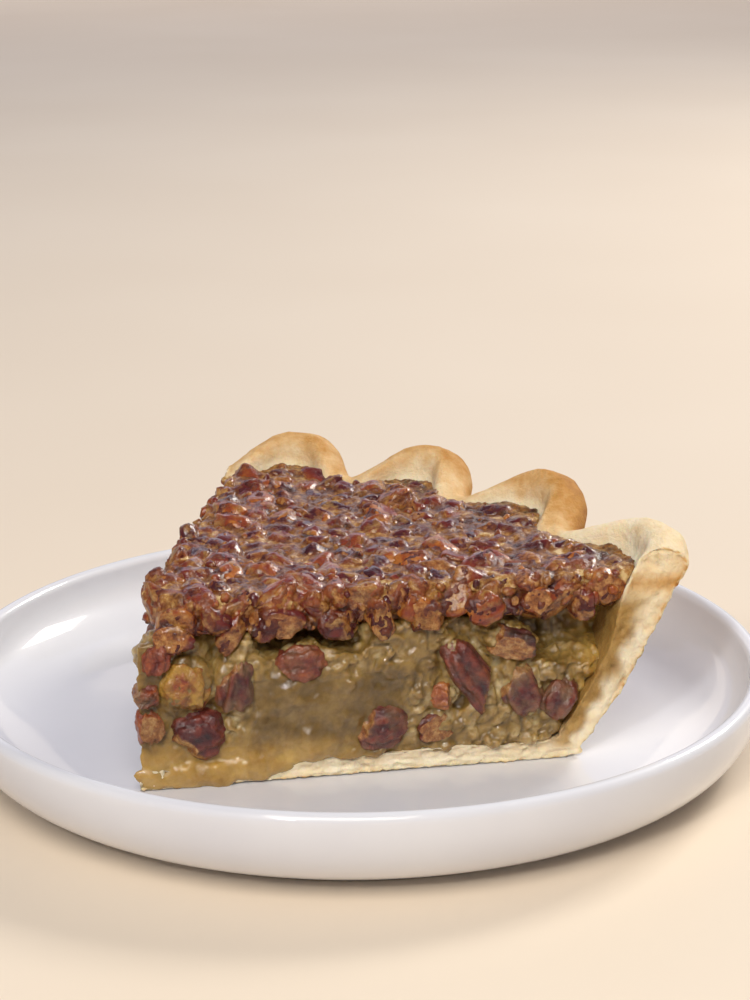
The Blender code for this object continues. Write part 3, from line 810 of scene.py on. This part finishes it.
def fill_layers(bm, **values):
    """New layers that hold the same value at every point."""
    for name, value in values.items():
        (layer,) = new_layers(bm, name)
        for vertex in bm.verts:
            vertex[layer] = value


def laid_in_cut(cut, x, depth, height, tilt):
    """Turns a piece's flat side to the cut, tilts its length and moves it to its place there."""
    place = Matrix.Translation(Vector((x, depth, height)) * MM)
    tilted = Matrix.Rotation(math.radians(-tilt), 4, "Y")
    return cut @ place @ tilted @ Matrix.Rotation(math.pi / 2, 4, "X")


# Pecan kernel: the skin is a thin red-brown paper, finely wrinkled and oily, and the broken flesh
# under it is waxy and tan. Custard left on a piece greys it and softens its shine. The skin is
# darker down in its grooves as painted shade.
kernel, tree, shader, spot, flesh, coated, tone, groove = new_material(
    "pecan kernel",
    "flesh",
    "coated",
    "tone",
    "groove",
    Subsurface_Weight=0.2,
    Subsurface_Radius=(1.0, 0.45, 0.2),
    Subsurface_Scale=1.4 * MM,
    IOR=1.3,
    Coat_Weight=0.9,
    Coat_Roughness=0.1,
)
streaks = add_node(tree, "ShaderNodeTexNoise", features(spot, 1.5 * MM, 5.0, 0.62, 0.6))
spread = add_node(tree, "ShaderNodeMath", {0: streaks, 1: 0.5}, operation="SUBTRACT")
shade = add_node(tree, "ShaderNodeMath", {0: spread, 1: 1.3, 2: tone}, operation="MULTIPLY_ADD")
# The skin is made darker down in its grooves: painted shade.
deep = add_node(tree, "ShaderNodeMath", {0: groove, 1: -0.3, 2: shade}, operation="MULTIPLY_ADD")
reds = {0.0: "#2E1416", 0.3: "#5A2420", 0.55: "#7E3524", 0.8: "#A0502A", 1.0: "#BC7036"}
skin = add_node(tree, "ShaderNodeValToRGB", {"Fac": deep}, reds)
flecks = add_node(tree, "ShaderNodeTexNoise", features(spot, 0.9 * MM, 5.0, 0.7))
tans = {0.36: "#6E3A1C", 0.5: "#9C6230", 0.66: "#C89A5E"}
waxy = add_node(tree, "ShaderNodeValToRGB", {"Fac": flecks}, tans)
bared = add_node(tree, "ShaderNodeMix", {"Factor": flesh, "A": skin, "B": waxy}, data_type="RGBA")
smears = add_node(tree, "ShaderNodeTexNoise", features(spot, 1.8 * MM, 4.0))
film = add_node(tree, "ShaderNodeMapRange", {"Value": smears, "From Min": 0.36, "From Max": 0.6})
coating = add_node(tree, "ShaderNodeMath", {0: film, 1: coated}, operation="MULTIPLY")
clinging = add_node(tree, "ShaderNodeValToRGB", {"Fac": coated}, {0.6: "#A08056", 1.0: "#B48A3C"})
under = {"Factor": coating, "A": bared.outputs[2], "B": clinging}
covered = add_node(tree, "ShaderNodeMix", under, data_type="RGBA")
dull = add_node(tree, "ShaderNodeMapRange", {"Value": streaks, "To Min": 0.22, "To Max": 0.5})
wrinkles = add_node(tree, "ShaderNodeTexNoise", features(spot, 0.6 * MM, 4.0, 0.65))
paper = add_node(tree, "ShaderNodeBump", {"Height": wrinkles, "Strength": 1.0, "Distance": 0.7 * MM})
oil = add_node(tree, "ShaderNodeBump", {"Height": wrinkles, "Strength": 0.9, "Distance": 0.4 * MM})
feed(shader, {"Base Color": covered.outputs[2], "Roughness": dull, "Normal": paper, "Coat Normal": oil})

rows = [("front", 0, i, row) for i, row in enumerate(FRONT_KERNELS, 1)]
rows += [("left", 1, i, row) for i, row in enumerate(left_kernels(), 1)]
for word, side, index, (x, height, length, width, thickness, tilt, broken, coat, light) in rows:
    seed = index + LEFT_SHAPE_SEED if side else ROUND_KERNEL_SEEDS.get(index, index)
    shape = (length * MM, width * MM, thickness * MM)
    bm = chopped_pecan(shape, seed, broken, 4 if side else 5, sliced=broken > SLICED_FROM)
    fill_layers(bm, coated=coat, tone=light)
    cut_frame = slice_place @ side_frame(side)
    bm.transform(laid_in_cut(cut_frame, x, KERNEL_DEPTH * thickness, height, tilt))
    if side:
        bmesh.ops.reverse_faces(bm, faces=bm.faces[:])
    mesh = mesh_of(bm, f"kernel {word} {index}")
    piece = object_of(mesh, f"chopped_kernel_{word}_{index:02d}", kernel)
    serve(piece, "pecan", f"pecan_{word}_{index:02d}")


# The baked top: chopped pecans that floated up through the syrup and baked in it, two or three
# deep. They are packed flat and sunk in amber crust that is full of small bubbles. At the cuts the
# pieces stick out past each other, and a few hang below the layer.

TOPPING_BASE = 32.0 * MM
NUT_LEVEL = 38.7 * MM
BIT_LEVEL = NUT_LEVEL + 0.7 * MM
SYRUP_LEVEL = 40.3 * MM
SYRUP_RECESS = 2.4 * MM
SYRUP_VOXEL = 0.55 * MM
BED_SWELL = 1.3 * MM
CUT_NUT_RECESS = 2.4 * MM
# The heights between which the nuts and the bits at the cuts lie
CUT_NUT_BAND = (34 * MM, 38.6 * MM)
CUT_BIT_BAND = (33 * MM, 39.5 * MM)
# Where the nuts and the syrup begin, as a share of the way from the tip to the pastry
NUTS_FROM = 0.09
SYRUP_FROM = 0.08
NUT_SPACING = 6.0 * MM
CUT_NUT_SPACING = 4.8 * MM
BIT_SPACING = 4.2 * MM
# Points for each square metre, many more than the spacing leaves
POINT_DENSITY = 1.0e6
NUT_KINDS = 14
BIT_KINDS = 8
NUT_SEED = 4
HANGING_SEED = 300
# The least and the most length, width and thickness of the pieces, in millimetres
NUT_SIZES = ((8.5, 13.5), (6.0, 8.6), (4.8, 6.4))
BIT_SIZES = ((2.6, 5.2), (2.0, 3.6), (1.6, 2.6))
# Pieces that hang at the front cut: along it, height, length, width, thickness, tilt and how far
# their middle lies behind the cut
HANGING_NUTS = (
    (8.2, 32.4, 9.5, 6.8, 6.0, 8, 0.8),
    (16.6, 35.4, 9.0, 5.6, 6.0, -35, 0.4),
    (19.8, 32.6, 11.5, 4.8, 6.0, 55, 0.8),
    (30.5, 34.2, 10.4, 7.0, 6.0, -8, 0.6),
    (42.0, 32.9, 10.0, 6.4, 6.0, 4, 1.0),
    (50.8, 33.4, 7.0, 9.4, 6.0, 10, 0.6),
    (60.2, 34.0, 9.6, 7.0, 6.0, -20, 0.6),
    (73.0, 34.4, 9.2, 7.4, 6.0, 25, 0.6),
    (84.5, 35.0, 7.8, 6.6, 6.0, -30, 0.8),
    (93.5, 33.6, 6.4, 8.0, 6.0, 0, 1.6),
)


def scatter_tree(name, finish):
    """Pieces of a collection set on a bed and made real, each with a random tone."""
    made = bpy.data.node_groups.new(name, "GeometryNodeTree")
    kinds = {"Geometry": "Geometry", "Pieces": "Collection", "Seed": "Int"}
    for label in ("Geometry", "Pieces", "Spacing", "Smallest", "Largest", "Lean", "Seed"):
        kind = "NodeSocket" + kinds.get(label, "Float")
        made.interface.new_socket(label, in_out="INPUT", socket_type=kind)
    made.interface.new_socket("Geometry", in_out="OUTPUT", socket_type="NodeSocketGeometry")
    given = made.nodes.new("NodeGroupInput").outputs
    seed = {"Seed": given["Seed"]}
    spots = add_node(
        made,
        "GeometryNodeDistributePointsOnFaces",
        {"Mesh": given["Geometry"], "Distance Min": given["Spacing"], "Density Max": POINT_DENSITY, **seed},
        distribute_method="POISSON",
    )
    pieces = add_node(
        made,
        "GeometryNodeCollectionInfo",
        {"Collection": given["Pieces"], "Separate Children": True, "Reset Children": True},
    )
    back = add_node(made, "ShaderNodeMath", {0: given["Lean"], 1: -1.0}, operation="MULTIPLY")
    low = add_node(made, "ShaderNodeCombineXYZ", {0: back, 1: back, 2: -math.pi})
    high = add_node(made, "ShaderNodeCombineXYZ", {0: given["Lean"], 1: given["Lean"], 2: math.pi})
    turns = {0: low, 1: high, **seed}
    angles = add_node(made, "FunctionNodeRandomValue", turns, data_type="FLOAT_VECTOR")
    twist = add_node(made, "FunctionNodeEulerToRotation", {0: angles})
    turn = add_node(
        made, "FunctionNodeRotateRotation", {0: spots.outputs["Rotation"], 1: twist}, rotation_space="LOCAL"
    )
    size = add_node(made, "FunctionNodeRandomValue", {2: given["Smallest"], 3: given["Largest"], **seed})
    placed = add_node(
        made,
        "GeometryNodeInstanceOnPoints",
        {
            "Points": spots.outputs["Points"],
            "Instance": pieces,
            "Pick Instance": True,
            "Rotation": turn,
            "Scale": size.outputs[1],
        },
    )
    shade = add_node(made, "FunctionNodeRandomValue", seed)
    tones = {"Geometry": placed, "Name": "tone", "Value": shade.outputs[1]}
    toned = add_node(made, "GeometryNodeStoreNamedAttribute", tones, domain="INSTANCE")
    real = add_node(made, "GeometryNodeRealizeInstances", {0: toned})
    coloured = add_node(made, "GeometryNodeSetMaterial", {"Geometry": real, "Material": finish})
    add_node(made, "NodeGroupOutput", {0: coloured})
    return made


def scattered(bed, group, pieces, **values):
    """The mesh of pieces scattered on a bed; the bed is removed."""
    modifier = bed.modifiers.new("scatter", "NODES")
    modifier.node_group = group
    values["Pieces"] = pieces
    for item in group.interface.items_tree:
        if item.in_out == "INPUT" and item.name in values:
            modifier[item.identifier] = values[item.name]
    return evaluated_mesh(bed)


def layer_point(share, theta, height, gap, back):
    """A place in the layer: its share of the way to the pastry, less a gap, and its angle squeezed
    in so that it stays back from the cuts."""
    radius = share * (inner_radius(theta, height) - gap)
    margin = math.asin(min(1.0, back / max(radius, back)))
    theta = margin + theta * (SLICE_ANGLE - 2 * margin) / SLICE_ANGLE
    return radius * math.cos(theta), radius * math.sin(theta), height


def shares_from(first, steps):
    """Even shares of the way to the pastry, from a first one to 1."""
    return [first + (1 - first) * i / steps for i in range(steps + 1)]


def top_bed(height, gap, back):
    """The surface that the upper nuts lie on."""
    bm = bmesh.new()
    angles = slice_angles(math.radians(3), math.radians(3), 1)
    shares = shares_from(NUTS_FROM, 30)
    places = [[layer_point(share, theta, height, gap, back) for share in shares] for theta in angles]
    weave(bm, [[bm.verts.new(place) for place in row] for row in places])
    for vertex in bm.verts:
        vertex.co.z += BED_SWELL * noise.noise(vertex.co / (7 * MM))
    bmesh.ops.recalc_face_normals(bm, faces=bm.faces[:])
    if sum(face.normal.z for face in bm.faces) < 0:
        bmesh.ops.reverse_faces(bm, faces=bm.faces[:])
    return object_of(mesh_of(bm, "top bed"), "top bed")


def cut_bed(low, high, gap, back):
    """Upright strips that the nuts at the two cuts lie on, facing out of the slice."""
    bm = bmesh.new()
    shares = shares_from(NUTS_FROM, 12)
    for theta, outward in ((0.0, -1), (SLICE_ANGLE, 1)):
        rows = [[layer_point(share, theta, h, gap, back) for share in shares] for h in (low, high)]
        strip = [[bm.verts.new(place) for place in row] for row in rows]
        weave(bm, strip if outward < 0 else strip[::-1])
    bm.normal_update()
    return object_of(mesh_of(bm, "cut bed"), "cut bed")


def piece_kinds(name, count, detail, sizes, broken, sliced=False):
    """A collection of different chopped pieces to scatter."""
    draw = random.Random(NUT_SEED)
    kinds = bpy.data.collections.new(name)
    for i in range(count):
        size = [draw.uniform(low, high) * MM for low, high in sizes]
        bm = chopped_pecan(size, NUT_SEED * 100 + i, broken * draw.random(), detail, sliced)
        kinds.objects.link(bpy.data.objects.new(f"{name} {i}", mesh_of(bm, f"{name} {i}")))
    return kinds


def clear_kinds(kinds):
    for obj in list(kinds.objects):
        bpy.data.objects.remove(obj, do_unlink=True)
    bpy.data.collections.remove(kinds)


# Syrup-glazed pecan: the same kernel under a hard clear skin of baked syrup, so it is darker and
# redder than a raw nut, with sharp small highlights on its ridges and dried froth in places. The
# skin is darker down in its grooves as painted shade.
glazed_nut, tree, shader, spot, flesh, tone, groove = new_material(
    "syrup-glazed baked pecan",
    "flesh",
    "tone",
    "groove",
    Subsurface_Weight=0.15,
    Subsurface_Radius=(1.0, 0.35, 0.15),
    Subsurface_Scale=1.2 * MM,
    IOR=1.25,
    Coat_Weight=0.9,
    Coat_Roughness=0.06,
)
streaks = add_node(tree, "ShaderNodeTexNoise", features(spot, 1.8 * MM, 5.0, 0.6, 0.5))
spread = add_node(tree, "ShaderNodeMath", {0: streaks, 1: 0.5}, operation="SUBTRACT")
shade = add_node(tree, "ShaderNodeMath", {0: spread, 1: 1.2, 2: tone}, operation="MULTIPLY_ADD")
# The skin is made darker down in its grooves: painted shade.
deep = add_node(tree, "ShaderNodeMath", {0: groove, 1: -0.25, 2: shade}, operation="MULTIPLY_ADD")
reds = {0.0: "#401016", 0.3: "#5A1A18", 0.6: "#762818", 0.85: "#944416", 1.0: "#B26A26"}
skin = add_node(tree, "ShaderNodeValToRGB", {"Fac": deep}, reds)
flecks = add_node(tree, "ShaderNodeTexNoise", features(spot, 0.9 * MM, 5.0, 0.7))
tans = {0.36: "#5E2E16", 0.5: "#925626", 0.66: "#C08C50"}
toasted = add_node(tree, "ShaderNodeValToRGB", {"Fac": flecks}, tans)
bared = add_node(tree, "ShaderNodeMix", {"Factor": flesh, "A": skin, "B": toasted}, data_type="RGBA")
smears = add_node(tree, "ShaderNodeTexNoise", features(spot, 2.2 * MM, 5.0, 0.65))
dried = {"Value": smears, "From Min": 0.5, "From Max": 0.62, "To Max": 0.8}
film = add_node(tree, "ShaderNodeMapRange", dried)
foam = add_node(tree, "ShaderNodeValToRGB", {"Fac": flecks}, {0.36: "#7A4A1C", 0.66: "#BC9052"})
under = {"Factor": film, "A": bared.outputs[2], "B": foam}
frosted = add_node(tree, "ShaderNodeMix", under, data_type="RGBA")
dull = add_node(tree, "ShaderNodeMapRange", {"Value": streaks, "To Min": 0.2, "To Max": 0.45})
wrinkles = add_node(tree, "ShaderNodeTexNoise", features(spot, 0.8 * MM, 4.0, 0.6))
creases = add_node(tree, "ShaderNodeBump", {"Height": wrinkles, "Strength": 1.0, "Distance": 0.6 * MM})
sheen = add_node(tree, "ShaderNodeBump", {"Height": wrinkles, "Strength": 0.6, "Distance": 0.4 * MM})
finish = {"Roughness": dull, "Normal": creases, "Coat Normal": sheen}
feed(shader, {"Base Color": frosted.outputs[2], **finish})

nut_kinds = piece_kinds("nut", NUT_KINDS, 3, NUT_SIZES, 0.9)
cut_kinds = piece_kinds("sliced nut", NUT_KINDS, 3, NUT_SIZES, 0.9, sliced=True)
bit_kinds = piece_kinds("nut bit", BIT_KINDS, 2, BIT_SIZES, 1.0)
nut_tree = scatter_tree("scattered nuts", glazed_nut)
nuts_above = top_bed(NUT_LEVEL, 2.8 * MM, 3.4 * MM)
nuts_beside = cut_bed(*CUT_NUT_BAND, 3.0 * MM, CUT_NUT_RECESS)
bits_above = top_bed(BIT_LEVEL, 1.2 * MM, 1.4 * MM)
bits_beside = cut_bed(*CUT_BIT_BAND, 2.0 * MM, 1.2 * MM)
sizes = {"Smallest": 0.7, "Largest": 1.1, "Seed": NUT_SEED}
nut_meshes = [
    scattered(nuts_above, nut_tree, nut_kinds, Spacing=NUT_SPACING, Lean=0.5, **sizes),
    scattered(nuts_beside, nut_tree, cut_kinds, Spacing=CUT_NUT_SPACING, Lean=0.5, **sizes),
]
bit_meshes = [
    scattered(bits_above, nut_tree, bit_kinds, Spacing=BIT_SPACING, Lean=1.5, **sizes),
    scattered(bits_beside, nut_tree, bit_kinds, Spacing=BIT_SPACING, Lean=1.5, **sizes),
]
for kinds in (nut_kinds, cut_kinds, bit_kinds):
    clear_kinds(kinds)


def joined(meshes, name):
    bm = bmesh.new()
    for mesh in meshes:
        bm.from_mesh(mesh)
    return mesh_of(bm, name)


def hanging_nuts():
    draw = random.Random(NUT_SEED)
    meshes = []
    for i, (x, height, length, width, thickness, tilt, depth) in enumerate(HANGING_NUTS):
        shape = (length * MM, width * MM, thickness * MM)
        one = chopped_pecan(shape, HANGING_SEED + i, 0.6, 4, sliced=i % 3 != 1)
        fill_layers(one, tone=draw.uniform(0.3, 1.0))
        one.transform(laid_in_cut(side_frame(0), x, depth, height, tilt))
        meshes.append(mesh_of(one, "hanging nut"))
    return meshes


nut_mesh = joined([*nut_meshes, *hanging_nuts()], "nuts")
bit_mesh = joined(bit_meshes, "nut bits")


def syrup_slab():
    """The layer without its nuts, from its underside up to the syrup's level."""
    bm = bmesh.new()
    angles = slice_angles(math.radians(1.5), math.radians(1.5), 1)
    heights = (TOPPING_BASE, 34 * MM, 36 * MM, SYRUP_LEVEL)
    shares = shares_from(SYRUP_FROM, 30)

    def point(share, theta, height):
        return bm.verts.new(layer_point(share, theta, height, -0.3 * MM, SYRUP_RECESS))

    for h in (heights[0], heights[-1]):
        weave(bm, [[point(share, theta, h) for share in shares] for theta in angles])
    for theta in (0.0, SLICE_ANGLE):
        weave(bm, [[point(share, theta, h) for share in shares] for h in heights])
    for share in (shares[0], 1.0):
        weave(bm, [[point(share, theta, h) for theta in angles] for h in heights])
    close_seams(bm)
    return bm


def syrup_cover(point):
    """How thickly the syrup lies over what it holds, from -1 to 1."""
    return layered(point, 6 * MM, 2)


def syrup_relief(point):
    bubbles = noise.voronoi(point / (1.5 * MM))[0][0]
    bubbly = smoothstep(-0.1, 0.3, noise.noise(point / (3.5 * MM)))
    pits = 0.5 * (1 - smoothstep(0.1, 0.45, bubbles)) * bubbly
    flakes = 0.55 + 0.4 * math.exp(-max(0.0, off_cut(point)) / 4)
    return (0.5 * syrup_cover(point) + flakes * layered(point, 1.8 * MM, 3) - pits - 0.1) * MM


def syrup_froth(point):
    rising = smoothstep(34, 39.5, point.z / MM)
    edge = 0.35 * math.exp(-max(0.0, off_cut(point)) / 5)
    return 0.15 + (0.27 + edge) * rising + 0.5 * layered(point + Vector((0.3, 0, 0)), 5 * MM, 2)


bm = syrup_slab()
bm.from_mesh(nut_mesh)
bm.from_mesh(bit_mesh)
syrup_mesh = blended(bm, SYRUP_VOXEL, 6)
held = bmesh.new()
held.from_mesh(nut_mesh)
nut_surface = BVHTree.FromBMesh(held)
held.free()


def nut_near(point):
    """1 where the syrup is only a film over a nut."""
    return 1 - smoothstep(0.1, 0.45, nut_surface.find_nearest(point)[3] / MM)


reshape(syrup_mesh, syrup_relief, {"froth": syrup_froth, "film": nut_near})
for mesh in (syrup_mesh, nut_mesh, bit_mesh):
    mesh.transform(slice_place)

# Baked syrup: boiled sugar, butter and egg that browned in the oven. It is amber and half clear
# where it ran, and froths to a dry, golden, bubbly crust where it rose.
syrup, tree, shader, spot, froth, over_nut = new_material(
    "baked syrup crust",
    "froth",
    "film",
    Subsurface_Weight=0.15,
    Subsurface_Radius=(1.0, 0.55, 0.2),
    Subsurface_Scale=1.2 * MM,
    IOR=1.25,
    Coat_Weight=0.75,
    Coat_Roughness=0.1,
)
mottle = add_node(tree, "ShaderNodeTexNoise", features(spot, 1.1 * MM, 6.0, 0.7))
spread = add_node(tree, "ShaderNodeMath", {0: mottle, 1: 0.5}, operation="SUBTRACT")
shade = add_node(tree, "ShaderNodeMath", {0: spread, 1: 2.4, 2: froth}, operation="MULTIPLY_ADD")
ambers = {0.0: "#42200A", 0.3: "#6C3C12", 0.6: "#94622A", 0.85: "#BC8E4E", 1.0: "#DCBE86"}
amber = add_node(tree, "ShaderNodeValToRGB", {"Fac": shade}, ambers)
seen = add_node(tree, "ShaderNodeValToRGB", {"Fac": shade}, {0.1: "#4A1612", 0.9: "#8E4A24"})
hue = add_node(tree, "ShaderNodeMix", {"Factor": over_nut, "A": amber, "B": seen}, data_type="RGBA")
dull = add_node(tree, "ShaderNodeMapRange", {"Value": froth, "To Min": 0.25, "To Max": 0.5})
fizz = add_node(tree, "ShaderNodeTexNoise", features(spot, 0.7 * MM, 4.0, 0.7))
bubbled = add_node(tree, "ShaderNodeBump", {"Height": fizz, "Strength": 1.0, "Distance": 0.55 * MM})
wavy = add_node(tree, "ShaderNodeBump", {"Height": fizz, "Strength": 0.8, "Distance": 0.4 * MM})
feed(shader, {"Base Color": hue.outputs[2], "Roughness": dull, "Normal": bubbled, "Coat Normal": wavy})
serve(object_of(syrup_mesh, "baked_syrup_layer", syrup), "nut_layer", "pecan_topping")
serve(object_of(nut_mesh, "glazed_nut_pieces", glazed_nut), "nut_layer", "pecan_topping")
serve(object_of(bit_mesh, "glazed_nut_bits", glazed_nut), "nut_layer", "pecan_topping")


# The table: a plain pale floor under soft studio light, with the camera where the photograph's was

FLOOR_SIZE = 8.0
bm = bmesh.new()
bmesh.ops.create_grid(bm, x_segments=1, y_segments=1, size=FLOOR_SIZE / 2)
paint, tree, shader, spot = new_material("pale floor paint", Roughness=0.55)
cloud = add_node(tree, "ShaderNodeTexNoise", features(spot, 120 * MM))
cream = add_node(tree, "ShaderNodeValToRGB", {"Fac": cloud}, {0.3: "#EADAC4", 0.7: "#EEDFCA"})
feed(shader, {"Base Color": cream})
object_of(mesh_of(bm, "floor"), "floor", paint)

world = bpy.data.worlds.new("studio")
bpy.context.scene.world = world
world.use_nodes = True
feed(world.node_tree.nodes["Background"], {"Color": linear("#D6DCF0"), "Strength": 0.27})


def add_light(name, place, target, size, power, code):
    lamp = bpy.data.lights.new(name, "AREA")
    lamp.shape = "RECTANGLE"
    lamp.size, lamp.size_y = size
    lamp.energy = power
    lamp.color = linear(code)[:3]
    made = object_of(lamp, name)
    made.location = place
    made.rotation_euler = (Vector(target) - Vector(place)).to_track_quat("-Z", "Y").to_euler()


add_light("window", (0.85, 0.8, 0.85), (0, 0, 0.02), (0.4, 0.4), 12, "#FFFAF2")
add_light("back wall", (-0.1, 2.5, 1.0), (0, 0, 0.03), (3.2, 1.3), 6.8, "#D8DCFF")
add_light("far floor", (0, 2.3, 0.7), (0, 2.3, 0), (3.0, 1.0), 8, "#FFF0DC")
add_light("overhead", (-0.1, -0.9, 1.15), (0, 0, 0.02), (0.8, 0.8), 13, "#FFF6EA")
add_light("front window", (-0.3, -0.85, 0.6), (0, 0, 0.03), (0.07, 0.1), 2.2, "#FFFFFF")

CAMERA_PLACE = Vector((0, -502.5, 204.9)) * MM
CAMERA_PITCH = math.radians(16.63)
CAMERA_YAW = math.radians(0.48)
CAMERA_ROLL = math.radians(-0.45)
lens = bpy.data.cameras.new("camera")
lens.lens = 86.4
lens.sensor_width = 36
camera = object_of(lens, "camera")
camera.matrix_world = (
    Matrix.Translation(CAMERA_PLACE)
    @ Matrix.Rotation(-CAMERA_YAW, 4, "Z")
    @ Matrix.Rotation(math.pi / 2 - CAMERA_PITCH, 4, "X")
    @ Matrix.Rotation(CAMERA_ROLL, 4, "Z")
)
bpy.context.scene.camera = camera
bpy.context.scene.view_settings.view_transform = "Standard"
